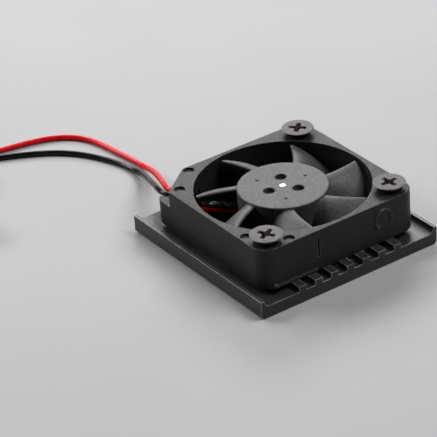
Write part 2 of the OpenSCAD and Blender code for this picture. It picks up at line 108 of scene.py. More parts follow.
def make_camera():
    """The camera stands where the reference view was taken from."""
    azimuth, elevation, roll = (math.radians(a) for a in CAMERA_ANGLES)
    back = Vector((math.sin(azimuth) * math.cos(elevation),
                   -math.cos(azimuth) * math.cos(elevation), math.sin(elevation)))
    level = Vector((math.cos(azimuth), math.sin(azimuth), 0))
    upright = back.cross(level)
    right = math.cos(roll) * level + math.sin(roll) * upright
    up = math.cos(roll) * upright - math.sin(roll) * level
    aside, above, distance = CAMERA_OFFSET
    place = back * distance + right * aside + up * above + Vector((FAN_X, FAN_Y, FAN_TOP))
    data = bpy.data.cameras.new("camera")
    data.sensor_width = SENSOR_WIDTH
    data.lens = CAMERA_LENS
    data.clip_start, data.clip_end = CLIP_RANGE
    camera = bpy.data.objects.new("camera", data)
    axes = Matrix((right, up, back)).transposed().to_4x4()
    camera.matrix_world = Matrix.Translation(place * MM) @ axes
    bpy.context.scene.collection.objects.link(camera)
    bpy.context.scene.camera = camera


make_camera()


# ------------------------------------------------------------------ mesh helpers
SHARP_ANGLE = 35            # degrees; sharper edges are bevelled, and stay sharp in the shading
CAD_SHARP_ANGLE = 40
ROUND_ANGLE = 50            # for pieces that are round all along
NORMAL_WEIGHT = 80
BEVEL_SEGMENTS = 2
ALONG_AXIS = 0.99999        # least part of a normal along an axis for the face to count as level
MERGE_FINE = 1e-6           # metres; points closer than this are one point
MERGE_CAD = 2e-6
MERGE_CUT = 4e-6
AXIS_R = 1e-4               # radius that stands for the axis in a turned outline


def new_piece(name, points, faces, body):
    """A mesh object from points and faces, riding on a body."""
    mesh = bpy.data.meshes.new(name)
    mesh.from_pydata([Vector(p) * MM for p in points], [], faces)
    mesh.validate()
    piece = bpy.data.objects.new(name, mesh)
    bpy.context.scene.collection.objects.link(piece)
    outward(piece)
    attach(piece, body)
    return piece


def outward(piece):
    """Turns all faces of a closed mesh outwards."""
    bm = bmesh.new()
    bm.from_mesh(piece.data)
    bmesh.ops.recalc_face_normals(bm, faces=bm.faces)
    bm.to_mesh(piece.data)
    bm.free()


def smooth(piece, angle=SHARP_ANGLE):
    """Smooth shading that keeps large faces flat and edges sharper than the angle sharp."""
    piece.data.shade_smooth()
    piece.data.set_sharp_from_angle(angle=math.radians(angle))
    step = piece.modifiers.new("normals", "WEIGHTED_NORMAL")
    step.keep_sharp = True
    step.weight = NORMAL_WEIGHT
    return apply_modifiers(piece)


def flatten_planes(piece):
    """Gives every face that looks straight along an axis its own flat normal."""
    mesh = piece.data
    normals = [Vector(corner.vector) for corner in mesh.corner_normals]
    for face in mesh.polygons:
        if max(abs(c) for c in face.normal) > ALONG_AXIS:
            for corner in face.loop_indices:
                normals[corner] = face.normal.copy()
    mesh.normals_split_custom_set(normals)


def apply_modifiers(piece):
    """Replaces the mesh with what its modifiers make of it."""
    graph = bpy.context.evaluated_depsgraph_get()
    mesh = bpy.data.meshes.new_from_object(piece.evaluated_get(graph))
    piece.modifiers.clear()
    piece.data = mesh
    return piece


def combine(piece, tools, operation="DIFFERENCE"):
    """Cuts tools out of a piece or adds them to it, and removes them."""
    for tool in tools:
        step = piece.modifiers.new("cut", "BOOLEAN")
        step.operation = operation
        step.solver = "EXACT"
        step.object = tool
    apply_modifiers(piece)
    for tool in tools:
        bpy.data.objects.remove(tool)
    return piece


def round_edges(piece, width, fine):
    """Bevels every edge sharper than SHARP_ANGLE, by a width in millimetres. Rims of the small
    round marks in fine, given as centre x, centre y and radius, keep their sharp edge."""
    mesh = piece.data
    bm = bmesh.new()
    bm.from_mesh(mesh)
    weights = bm.edges.layers.float.new("bevel_weight_edge")
    for edge in bm.edges:
        if edge.is_manifold and edge.calc_face_angle() > math.radians(SHARP_ANGLE):
            on_mark = any(all(math.hypot(v.co.x / MM - x, v.co.y / MM - y) < r for v in edge.verts)
                          for x, y, r in fine)
            edge[weights] = 0.0 if on_mark else 1.0
    bm.to_mesh(mesh)
    bm.free()
    step = piece.modifiers.new("edges", "BEVEL")
    step.width = width * MM
    step.segments = BEVEL_SEGMENTS
    step.limit_method = "WEIGHT"
    step.use_clamp_overlap = False
    step.miter_outer = "MITER_ARC"
    return apply_modifiers(piece)


def turned(name, profile, body, steps, centre):
    """Revolves a closed outline of (radius, height) about an upright axis through the centre."""
    rows = len(profile)
    points, faces = [], []
    for k in range(steps):
        a = 2 * math.pi * k / steps
        for r, z in profile:
            points.append((centre[0] + r * math.cos(a), centre[1] + r * math.sin(a), z))
    for k in range(steps):
        for i in range(rows):
            j = (i + 1) % rows
            n = (k + 1) % steps
            faces.append((k * rows + i, n * rows + i, n * rows + j, k * rows + j))
    piece = new_piece(name, points, faces, body)
    weld(piece)
    return piece


def weld(piece, distance=MERGE_FINE):
    """Merges points that lie on each other and drops the empty faces they leave."""
    bm = bmesh.new()
    bm.from_mesh(piece.data)
    bmesh.ops.remove_doubles(bm, verts=bm.verts, dist=distance)
    bmesh.ops.dissolve_degenerate(bm, edges=bm.edges, dist=distance)
    bmesh.ops.recalc_face_normals(bm, faces=bm.faces)
    bm.to_mesh(piece.data)
    bm.free()


def clean_cut(piece):
    """Turns a mesh into triangles, and drops the folded pairs and loose specks that a cut can
    leave. What stays is the largest connected group of faces."""
    bm = bmesh.new()
    bm.from_mesh(piece.data)
    bmesh.ops.triangulate(bm, faces=bm.faces)
    bmesh.ops.remove_doubles(bm, verts=bm.verts, dist=MERGE_CUT)
    bmesh.ops.dissolve_degenerate(bm, edges=bm.edges, dist=MERGE_FINE)
    pairs = {}
    for face in bm.faces:
        pairs.setdefault(frozenset(face.verts), []).append(face)
    folded = [face for same in pairs.values() if len(same) > 1 for face in same]
    bmesh.ops.delete(bm, geom=folded, context="FACES")
    left = set(bm.faces)
    groups = []
    while left:
        group = {left.pop()}
        newest = set(group)
        while newest:
            near = {g for f in newest for e in f.edges for g in e.link_faces}
            newest = near & left
            left -= newest
            group |= newest
        groups.append(group)
    largest = max(groups, key=len)
    loose = [f for f in bm.faces if f not in largest]
    bmesh.ops.delete(bm, geom=loose, context="FACES")
    bm.to_mesh(piece.data)
    bm.free()


def lofted(name, rings, body):
    """A closed skin over rings that have the same number of points."""
    n = len(rings[0])
    points = [p for ring in rings for p in ring]
    faces = [tuple(range(n))[::-1], tuple((len(rings) - 1) * n + k for k in range(n))]
    for i in range(len(rings) - 1):
        for k in range(n):
            faces.append((i * n + k, i * n + (k + 1) % n,
                          (i + 1) * n + (k + 1) % n, (i + 1) * n + k))
    return new_piece(name, points, faces, body)


def drill(radius, low, high, centre, chamfer=0.07, steps=48):
    """A cutter for an upright hole whose upper rim at height high is chamfered."""
    above = 1.0
    profile = [(AXIS_R, low), (radius, low), (radius, high - chamfer), (radius + chamfer, high),
               (radius + chamfer, high + above), (AXIS_R, high + above)]
    return turned("drill", profile, "base", steps, centre)


def from_cad(node, name, width, fine=()):
    """A new piece with a CAD node's shape and edges rounded by a width in millimetres."""
    body = frame["nodes"][node]["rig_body"]
    piece = bpy.data.objects.new(name, frame["nodes"][node].data.copy())
    piece.data.materials.clear()
    if "custom_normal" in piece.data.attributes:
        piece.data.attributes.remove(piece.data.attributes["custom_normal"])
    bpy.context.scene.collection.objects.link(piece)
    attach(piece, body)
    bm = bmesh.new()
    bm.from_mesh(piece.data)
    bmesh.ops.remove_doubles(bm, verts=bm.verts, dist=MERGE_CAD)
    bmesh.ops.recalc_face_normals(bm, faces=bm.faces)
    bm.to_mesh(piece.data)
    bm.free()
    round_edges(piece, width, fine)
    weld(piece, MERGE_CUT)
    smooth(piece, CAD_SHARP_ANGLE)
    flatten_planes(piece)
    return piece


# ------------------------------------------------------------------ curves
SPLINE_STEPS = 6
TUBE_DOME = ((-0.35, 0.75), (-0.1, 0.95))    # shift along the path, and share of the radius
DOME_DEPTH = 0.3


def spline(points):
    """Points along a smooth curve through the given ones, SPLINE_STEPS for each stretch."""
    found = []
    pts = [Vector(p) for p in points]
    pts = [2 * pts[0] - pts[1]] + pts + [2 * pts[-1] - pts[-2]]
    for i in range(1, len(pts) - 2):
        a, b, c, d = pts[i - 1:i + 3]
        for k in range(SPLINE_STEPS):
            t = k / SPLINE_STEPS
            found.append(0.5 * ((2 * b) + (c - a) * t + (2 * a - 5 * b + 4 * c - d) * t ** 2
                                + (3 * b - a - 3 * c + d) * t ** 3))
    found.append(pts[-2])
    return found


def tube(name, path, radius, body, sides=16):
    """A round tube along a path, closed with small domes."""
    rings = []
    side = None
    last = len(path) - 1
    stations = [(0, shift, share) for shift, share in TUBE_DOME]
    stations += [(i, 0.0, 1.0) for i in range(len(path))]
    stations += [(last, -shift, share) for shift, share in TUBE_DOME[::-1]]
    for i, shift, share in stations:
        ahead = (path[min(i + 1, last)] - path[max(i - 1, 0)]).normalized()
        if side is None:
            side = ahead.cross(Vector((0, 0, 1))).normalized()
        side = (side - ahead * side.dot(ahead)).normalized()
        lift = side.cross(ahead)
        centre = path[i] + ahead * shift * radius * DOME_DEPTH
        rings.append([centre + radius * share * (math.cos(a) * side + math.sin(a) * lift)
                      for a in (2 * math.pi * k / sides for k in range(sides))])
    return lofted(name, rings, body)


# ------------------------------------------------------------------ the lead
# Each wire's centre line: its way out of the fan to the coil, the coil, and the tail to the plug.
RED_ROUTE = [(-10.5, 13, 5.5), (-11.1, 13.9, 6.3), (-11.4, 15, 6.7), (-11.3, 16.3, 6.6),
             (-10.5, 18.2, 6.1), (-9.5, 20.4, 5.4), (-8.5, 22.7, 4.6), (-7.5, 25, 3.8),
             (-6.5, 27.3, 2.9), (-5.6, 29.7, 2), (-4.9, 32.1, 1.1), (-4.6, 34.6, 0.6),
             (-4.6, 37.1, 0.48), (-4.9, 39.6, 0.48), (-5.2, 42.1, 0.48), (-5.5, 44.6, 0.48),
             (-6, 47.1, 0.48), (-6.9, 49.4, 0.48), (-8.4, 51.4, 0.48), (-10.4, 52.9, 0.48),
             (-12.7, 53.9, 0.48), (-15.1, 54.6, 0.48), (-17.6, 55.1, 0.48), (-20.1, 55.6, 0.48),
             (-22.9, 56.2, 0.8), (-25.7, 56.6, 1.35), (-28.5, 56.8, 1.6), (-31.3, 56.8, 1.6)]
BLACK_ROUTE = [(-11.3, 12.3, 5.5), (-12.1, 13.2, 6.3), (-12.6, 14.3, 6.7), (-12.7, 15.7, 6.6),
               (-12.2, 17.6, 6.2), (-11.3, 19.8, 5.5), (-10.4, 22.1, 4.7), (-9.4, 24.4, 3.8),
               (-8.4, 26.7, 2.9), (-7.5, 29, 2), (-6.8, 31.4, 1.1), (-6.5, 33.8, 0.6),
               (-6.7, 36.3, 0.48), (-7.3, 38.7, 0.48), (-8.2, 41.1, 0.48), (-9.3, 43.4, 0.48),
               (-10.7, 45.6, 0.48), (-12.4, 47.6, 0.48), (-14.4, 49.3, 0.48), (-16.6, 50.8, 0.48),
               (-18.9, 52.1, 0.48), (-21.3, 53.3, 0.48), (-23.8, 54.5, 0.5), (-26.4, 55.6, 0.6),
               (-28.9, 56.4, 0.65), (-31.3, 56.8, 0.65)]
RED_TAIL = [(-40.2, 50.6, 2.58), (-40.2, 48.6, 2.58), (-40.3, 46.6, 2.4), (-40.5, 44.8, 2.2),
            (-40.7, 43, 2.2), (-40.7, 41.5, 2.25), (-40.7, 40, 2.25)]
BLACK_TAIL = [(-39.2, 50.6, 2.58), (-39.2, 48.6, 2.58), (-39.1, 46.6, 2.4), (-38.9, 44.8, 2.2),
              (-38.7, 43, 2.2), (-38.7, 41.5, 2.25), (-38.7, 40, 2.25)]
COIL_AT = Vector((-34, 50.6, 0))
COIL_OUTER_R = 6.2
COIL_PITCH = 1.0
COIL_TURNS = 2.25
COIL_STEPS = 24                 # points for each turn
LAYERS = {"red": 1.6, "black": 0.65}
TOP_LAYER = 2.58

# The turns between which a wire moves to the inner turn, the red one moves back out, and each
# rises to the top layer.
STEP_IN = (0.8, 1.0)
RED_STEP_OUT = (1.66, 1.84)
RISE = {"red": (1.6, 1.75), "black": (1.72, 1.9)}

TROUGH_FLOOR = 0.85             # height of the inner wires above the fan's underside
TROUGH_SIDE = 0.55              # distance of each inner wire from the strut's middle


def eased(start, end, t):
    """0 before start, 1 after end, and a smooth rise between them."""
    s = min(max((t - start) / (end - start), 0), 1)
    return s * s * (3 - 2 * s)


def coil_point(colour, turn):
    """A wire's place in the coil: the red wire lies on the black one, an outer turn first, then
    an inner one, and the last quarter crosses on top side by side."""
    r = COIL_OUTER_R - COIL_PITCH * eased(*STEP_IN, turn)
    if colour == "red":
        r += COIL_PITCH * eased(*RED_STEP_OUT, turn)
    z = LAYERS[colour]
    z += (TOP_LAYER - z) * eased(*RISE[colour], turn)
    a = math.pi / 2 + 2 * math.pi * turn
    return COIL_AT + Vector((r * math.cos(a), r * math.sin(a), z))


def lead_path(colour, route, tail):
    """One smooth centre line from the fan through the coil to the plug."""
    turns = range(round(COIL_TURNS * COIL_STEPS))
    coil = [coil_point(colour, k / COIL_STEPS) for k in turns]
    return spline(list(route) + coil + list(tail))


def inner_path(side, route):
    """From the driver board along the strut's trough, then up the corner slot to the route."""
    along = Vector((math.cos(LEAD_ANGLE), math.sin(LEAD_ANGLE), 0))
    across = side * TROUGH_SIDE * Vector((along.y, -along.x, 0))
    steps = [(4.45, TROUGH_FLOOR), (9.35, TROUGH_FLOOR), (14.3, TROUGH_FLOOR),
             (15.4, TROUGH_FLOOR + 0.25), (16.2, TROUGH_FLOOR + 0.85)]
    fan = Vector((FAN_X, FAN_Y, FAN_Z))
    points = [fan + along * r + across + Vector((0, 0, z)) for r, z in steps]
    bend = spline(points + [Vector(route[0]), Vector(route[1])])
    return bend[:-SPLINE_STEPS]


red_path = lead_path("red", RED_ROUTE, RED_TAIL)
black_path = lead_path("black", BLACK_ROUTE, BLACK_TAIL)
red_lead = tube("red_lead", red_path, WIRE_D / 2, "base")
black_lead = tube("black_lead", black_path, WIRE_D / 2, "base")
red_inner = tube("red_lead_inner", inner_path(1, RED_ROUTE), WIRE_D / 2, "base")
black_inner = tube("black_lead_inner", inner_path(-1, BLACK_ROUTE), WIRE_D / 2, "base")


# ------------------------------------------------------------------ plug and tie
PLUG_EDGE = 0.12
CONTACT_EDGE = 0.05
TIE_T = 0.15
TIE_BEND = 0.45
TIE_HALF = 0.78                 # half the band's width
BUNDLE_R = 5.7                  # from the coil's middle to the middle of the bundle
BUNDLE_HALF = 1.12              # half the bundle's width
TWIST_STEPS = 40


def make_plug():
    """The two-way housing, with rounded edges, a shallow window over each terminal and a groove
    across its top behind them."""
    piece = from_cad("plug_housing", "plug_shell", PLUG_EDGE)
    mid_x = (plug_low.x + plug_high.x) / 2
    front = plug_low.y
    top = plug_high.z
    # Centre y, half width, half length and depth of each kind of cut.
    window = (front + 2.6, 0.55, 0.9, 0.35)
    groove = (front + 4.6, 2.4, 0.25, 0.25)
    cutters = []
    for x, (y, half_x, half_y, deep) in ((mid_x - 1, window), (mid_x + 1, window), (mid_x, groove)):
        rings = []
        # A cutter widens towards the top, which rounds the rim of its cut.
        for z, grow in ((top - deep, 0), (top - 0.06, 0.03), (top, 0.09), (top + 0.5, 0.09)):
            rings.append([(x + sx * (half_x + grow), y + sy * (half_y + grow), z)
                          for sx, sy in ((-1, -1), (1, -1), (1, 1), (-1, 1))])
        cutters.append(lofted("window", rings, "base"))
    combine(piece, cutters)
    smooth(piece, CAD_SHARP_ANGLE)
    flatten_planes(piece)
    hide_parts("plug_housing")
    return piece


def make_terminals():
    """The two crimped contacts inside the plug."""
    piece = from_cad("plug_terminals", "plug_contacts", CONTACT_EDGE)
    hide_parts("plug_terminals")
    return piece


def make_tie():
    """A coated twist tie: a flat band round the bundle and its two ends twisted together."""
    mid_x = (tie_low.x + tie_high.x) / 2
    out_y = COIL_AT.y - BUNDLE_R - BUNDLE_HALF - TIE_T
    in_y = COIL_AT.y - BUNDLE_R + BUNDLE_HALF + TIE_T
    corners = [(out_y, tie_low.z), (in_y, tie_low.z), (in_y, tie_high.z), (out_y, tie_high.z)]
    loop = []
    for k, (y, z) in enumerate(corners):
        cy = y + (TIE_BEND if k in (0, 3) else -TIE_BEND)
        cz = z + (TIE_BEND if k in (0, 1) else -TIE_BEND)
        for j in range(5):
            a = math.pi + (k + j / 4) * math.pi / 2
            loop.append((cy + TIE_BEND * math.cos(a), cz + TIE_BEND * math.sin(a)))
    # Place across the band, and how far in from its face, for each point of half a section.
    edge = 0.05
    sections = [(-TIE_HALF, edge), (-TIE_HALF + edge, 0.0), (TIE_HALF - edge, 0.0),
                (TIE_HALF, edge)]
    cy = (out_y + in_y) / 2
    cz = (tie_low.z + tie_high.z) / 2

    def at(k, x, depth):
        y, z = loop[k]
        inward = Vector((0, cy - y, cz - z)).normalized()
        return Vector((mid_x + x, y, z)) + inward * depth

    rings = []
    for k in range(len(loop)):
        outer = [at(k, x, d) for x, d in sections]
        inner = [at(k, x, TIE_T - d) for x, d in sections[::-1]]
        rings.append(outer + inner)
    n = len(rings[0])
    points = [p for ring in rings for p in ring]
    faces = []
    for i in range(len(rings)):
        after = (i + 1) % len(rings)
        for k in range(n):
            faces.append((i * n + k, i * n + (k + 1) % n, after * n + (k + 1) % n, after * n + k))
    band = new_piece("coil_tie_band", points, faces, "base")
    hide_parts("coil_tie")
    smooth(band)
    ends = []
    for phase in (0, math.pi):
        path = []
        for k in range(TWIST_STEPS + 1):
            s = k / TWIST_STEPS
            a = phase + 4.5 * math.pi * s
            path.append(Vector((mid_x + TIE_T * math.cos(a), out_y + 0.1 - 2.5 * s,
                                cz + TIE_T * math.sin(a))))
        end = tube("coil_tie_end_%d" % (len(ends) + 1), path, TIE_T, "base", 8)
        smooth(end)
        ends.append(end)
    return [band] + ends


plug = make_plug()
terminals = make_terminals()
tie = make_tie()
leads = [(red_lead, red_path, RED_ROUTE, ["red_wire", "wire_coil"]),
         (black_lead, black_path, BLACK_ROUTE, ["black_wire", "wire_coil"])]
for lead, path, route, nodes in leads:
    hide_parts(*nodes)
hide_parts("red_wire_inner")
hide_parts("black_wire_inner")
for piece in (red_lead, red_inner):
    smooth(piece, ROUND_ANGLE)
for piece in (black_lead, black_inner):
    smooth(piece, ROUND_ANGLE)


# ------------------------------------------------------------------ heat sink and fan frame
CASE_EDGE = 0.1
INSULATOR_EDGE = 0.03

sink = from_cad("heat_sink", "sink_body", CASE_EDGE)
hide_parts("heat_sink")

# The ejector marks on the frame's top, and a radius that takes in their rims.
MARK_R = 1.0
marks = [(FAN_X - 13.85, FAN_Y - 9.1), (FAN_X - 9.1, FAN_Y - 13.85),
         (FAN_X - 13.2, FAN_Y + 9.8), (FAN_X - 8.6, FAN_Y + 13.85)]
housing = from_cad("fan_frame", "fan_housing", CASE_EDGE, [(x, y, MARK_R) for x, y in marks])
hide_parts("fan_frame")

insulators = []
for place in ("upper", "lower"):
    cover = from_cad(place + "_insulator", place + "_winding_insulator", INSULATOR_EDGE)
    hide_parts(place + "_insulator")
    insulators.append(cover)


def make_rotation_mark():
    """A plain raised arc with an arrow head on the front wall: the way the rotor turns."""
    centre = Vector((8.3, FAN_Y - FAN_SIDE / 2 + 0.02, FAN_TOP - 2.9))
    radius = 1.6
    line = 0.24
    forward = Vector((0, -0.24, 0))
    first, sweep, steps = -30, 250, 36      # degrees, degrees, and pieces of the arc
    points = []
    for k in range(steps + 1):
        a = math.radians(first + sweep * k / steps)
        points.append(Vector((radius * math.cos(a), 0, radius * math.sin(a))))
    rings = []
    for p in points:
        out = p.normalized()
        rings.append([centre + p + out * line, centre + p + out * line * 0.5 + forward,
                      centre + p - out * line * 0.5 + forward, centre + p - out * line])
    arc = lofted("rotation_mark_arc", rings, "base")
    tip = points[-1]
    ahead = (points[-1] - points[-2]).normalized()
    out = tip.normalized()
    head_half, head_length, face_share = 0.6, 0.95, 0.7
    head = [tip + out * head_half, tip - out * head_half, tip + ahead * head_length]
    mid = sum(head, Vector()) / 3
    rings = [[centre + p for p in head],
             [centre + mid + (p - mid) * face_share + forward for p in head]]
    arrow = lofted("rotation_mark_head", rings, "base")
    for piece in (arc, arrow):
        smooth(piece)
    return [arc, arrow]


mark = make_rotation_mark()


# ------------------------------------------------------------------ screws
# Each screw's corner of the fan, as signs of x and y, and the turn of its recess in degrees.
SCREW_TURNS = ((-1, -1, 25), (1, -1, 2), (1, 1, 42))
HEAD_R = 2.65
SHANK_R = 1.45
HEAD_TOP = screw_high.z
HEAD_RIM = 0.1


def screw_profile():
    """Outline of a countersunk head and the first of its shank, with a lightly rounded rim, and
    the height at which the cone meets the shank."""
    cone = HEAD_R - SHANK_R
    seat = HEAD_TOP - HEAD_RIM - cone
    edge = 0.06
    outline = [(AXIS_R, seat - 0.6), (SHANK_R - 0.16, seat - 0.6), (SHANK_R - 0.12, seat - 0.2),
               (SHANK_R, seat), (HEAD_R - edge, HEAD_TOP - HEAD_RIM - edge),
               (HEAD_R, HEAD_TOP - HEAD_RIM + 0.02), (HEAD_R - 0.02, HEAD_TOP - 0.05),
               (HEAD_R - 0.07, HEAD_TOP - 0.005), (HEAD_R - 0.16, HEAD_TOP), (AXIS_R, HEAD_TOP)]
    return outline, seat


def cross_outline(length, width, corner):
    """Outline of a cross, with the inner corners cut by the given amount."""
    quarter = [(length, -width), (length, width), (width + corner, width), (width, width + corner)]
    found = []
    for k in range(4):
        c, s = math.cos(k * math.pi / 2), math.sin(k * math.pi / 2)
        found += [(x * c - y * s, x * s + y * c) for x, y in quarter]
    return found


def cross_cutter(x, y, turn):
    """The tapered cross recess of a screw, as rings from its floor up."""
    rings = []
    for depth, length, width, corner in ((1.25, 0.5, 0.22, 0.06), (0.7, 1.1, 0.3, 0.14),
                                         (0.12, 1.42, 0.37, 0.2), (0, 1.52, 0.41, 0.24),
                                         (-0.5, 1.52, 0.41, 0.24)):
        ring = []
        for u, v in cross_outline(length, width, corner):
            c, s = math.cos(turn), math.sin(turn)
            ring.append((x + u * c - v * s, y + u * s + v * c, HEAD_TOP - depth))
        rings.append(ring)
    return lofted("recess", rings, "base")


def thread(name, x, y, top, bottom):
    """The threaded shank: a ridge that climbs round it, with a pointed crest."""
    pitch = 0.5
    core = SHANK_R - 0.26
    point = 0.4             # length over which the end narrows
    sides = 32
    rows = round((top - bottom) / pitch * 8)
    rings = []
    for j in range(rows + 1):
        z = bottom + (top - bottom) * j / rows
        ring = []
        for k in range(sides):
            a = 2 * math.pi * k / sides
            phase = (z / pitch - k / sides) % 1
            ridge = max(0.0, 1 - abs(phase - 0.5) * 2.6)
            fade = min(1.0, (z - bottom) / point)
            r = (core + (SHANK_R - 0.02 - core) * ridge) * (0.88 + 0.12 * fade)
            ring.append((x + r * math.cos(a), y + r * math.sin(a), z))
        rings.append(ring)
    return lofted(name, rings, "base")


screws = []
profile, seat = screw_profile()
for number, (sx, sy, degrees) in enumerate(SCREW_TURNS, 1):
    x = FAN_X + sx * (FAN_SIDE / 2 - HOLE_INSET)
    y = FAN_Y + sy * (FAN_SIDE / 2 - HOLE_INSET)
    head = turned("screw_head_%d" % number, profile, "base", 64, (x, y))
    combine(head, [cross_cutter(x, y, math.radians(degrees))])
    smooth(head, 30)
    shank = smooth(thread("screw_thread_%d" % number, x, y, seat - 0.5, screw_low.z), 60)
    for piece in (head, shank):
        screws.append(piece)
    if number == 1:
        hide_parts("fan_screws")


# ------------------------------------------------------------------ impeller and shaft
# A blade spans BLADE_SPAN degrees round the axis, starts at BLADE_START, and its tip lies
# BLADE_SWEEP degrees ahead of its root.
BLADE_T = 0.55
BLADE_SPAN = 28.0
BLADE_SWEEP = 7.4
BLADE_START = 92.5
BLADE_HIGH = FAN_TOP - 0.4
BLADE_LOW = rotor_low.z + 0.05
ROOT_R = HUB_R - HUB_WALL / 2
BLADE_ROWS = 12
BLADE_COLUMNS = 22


def blade_thickness(r, u):
    """Round along the two edges, and thicker where it flows into the hub."""
    edge = 0.07
    near = min(u, 1 - u) / edge
    rounding = math.sqrt(max(0.0, 1 - (1 - min(near, 1)) ** 2))
    return BLADE_T * (0.06 + 0.94 * rounding) * (1 + 0.9 * math.exp(-(r - HUB_R + 0.1) / 0.3))


def blade_station(share, u, side):
    """Radius, angle and height of a point on a blade: share runs from the root to the tip, u from
    the upper edge to the lower one, and side is 1 on the upper face and -1 on the lower one."""
    r = ROOT_R + (BLADE_TIP_R - ROOT_R) * share
    power = 3 - 1.75 * share
    drop = BLADE_HIGH - BLADE_LOW - BLADE_T
    arc = r * math.radians(BLADE_SPAN)
    slope = drop * power * max(u, 0.02) ** (power - 1)
    reach = math.hypot(arc, slope)
    half = blade_thickness(r, u) / 2
    z = BLADE_HIGH - BLADE_T / 2 - drop * u ** power + side * half * arc / reach
    a = math.radians(BLADE_START + BLADE_SWEEP * share - BLADE_SPAN * u)
    a -= side * half * slope / reach / r
    return r, a, min(z, BLADE_HIGH)


def make_blade(number):
    """One blade as a closed skin, with its root inside the hub's wall."""
    turn = 2 * math.pi * number / BLADES
    rings = []
    columns = [0.5 - 0.5 * math.cos(math.pi * j / BLADE_COLUMNS) for j in range(BLADE_COLUMNS + 1)]
    for i in range(BLADE_ROWS + 1):
        share = (i / BLADE_ROWS) ** 1.3
        ring = []
        for u, side in [(u, 1) for u in columns] + [(u, -1) for u in columns[::-1]]:
            r, a, z = blade_station(share, u, side)
            ring.append((FAN_X + r * math.cos(a + turn), FAN_Y + r * math.sin(a + turn), z))
        rings.append(ring)
    return lofted("blade", rings, "rotor")


def make_impeller():
    """Hub cup, seven curved blades, three balance holes and three gate dimples."""
    top = rotor_high.z
    low = rotor_low.z
    round_r = 0.22
    inside = yoke_top
    boss_r = 1.3
    boss_low = inside - 1.05
    rim = [(HUB_R - round_r + round_r * math.sin(a), top - round_r + round_r * math.cos(a))
           for a in (math.pi / 2 * (1 - k / 5) for k in range(6))]
    profile = [(HUB_R - HUB_WALL, low), (HUB_R - 0.06, low), (HUB_R, low + 0.06)] + rim
    profile += [(0.56, top), (0.5, top - 0.06), (0.5, boss_low), (boss_r, boss_low),
                (boss_r, inside), (HUB_R - HUB_WALL, inside)]
    piece = turned("fan_rotor", profile, "rotor", 144, (FAN_X, FAN_Y))
    cutters = []
    hole_at, hole_r = 2.7, 0.95
    dimple_at, dimple_r = 4.45, 0.3
    for k in range(3):
        a = math.radians(60 + 120 * k)
        spot = (FAN_X + hole_at * math.cos(a), FAN_Y + hole_at * math.sin(a))
        cutters.append(drill(hole_r, inside - 0.3, top, spot))
        a = math.radians(120 * k)
        spot = (FAN_X + dimple_at * math.cos(a), FAN_Y + dimple_at * math.sin(a))
        cutters.append(drill(dimple_r, top - 0.15, top, spot, 0.06, 24))
    combine(piece, cutters)
    combine(piece, [make_blade(k) for k in range(BLADES)], "UNION")
    clean_cut(piece)
    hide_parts("impeller")
    return smooth(piece, 32)


impeller = make_impeller()


def make_shaft():
    """The ground steel shaft, with a domed end."""
    r = 0.5
    top = shaft_high.z
    rise = 0.05
    dome = [(r * math.cos(a), top - rise + rise * math.sin(a))
            for a in (math.pi / 2 * k / 6 for k in range(6))]
    chamfer = 0.08
    profile = [(AXIS_R, shaft_low.z), (r - chamfer, shaft_low.z), (r, shaft_low.z + chamfer)]
    profile += dome + [(AXIS_R, top)]
    piece = turned("motor_shaft", profile, "rotor", 64, (FAN_X, FAN_Y))
    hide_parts("rotor_shaft")
    return smooth(piece, ROUND_ANGLE)


shaft = make_shaft()


# ------------------------------------------------------------------ materials
MIX_A, MIX_B, MIX_RESULT = 6, 7, 2      # sockets of a Mix node that mixes colours
# Product of a rounded and a flat normal where an edge mask begins, and where it is full.
EDGE_START, EDGE_FULL = 0.995, 0.92


def grey(value):
    return (value,) * 3


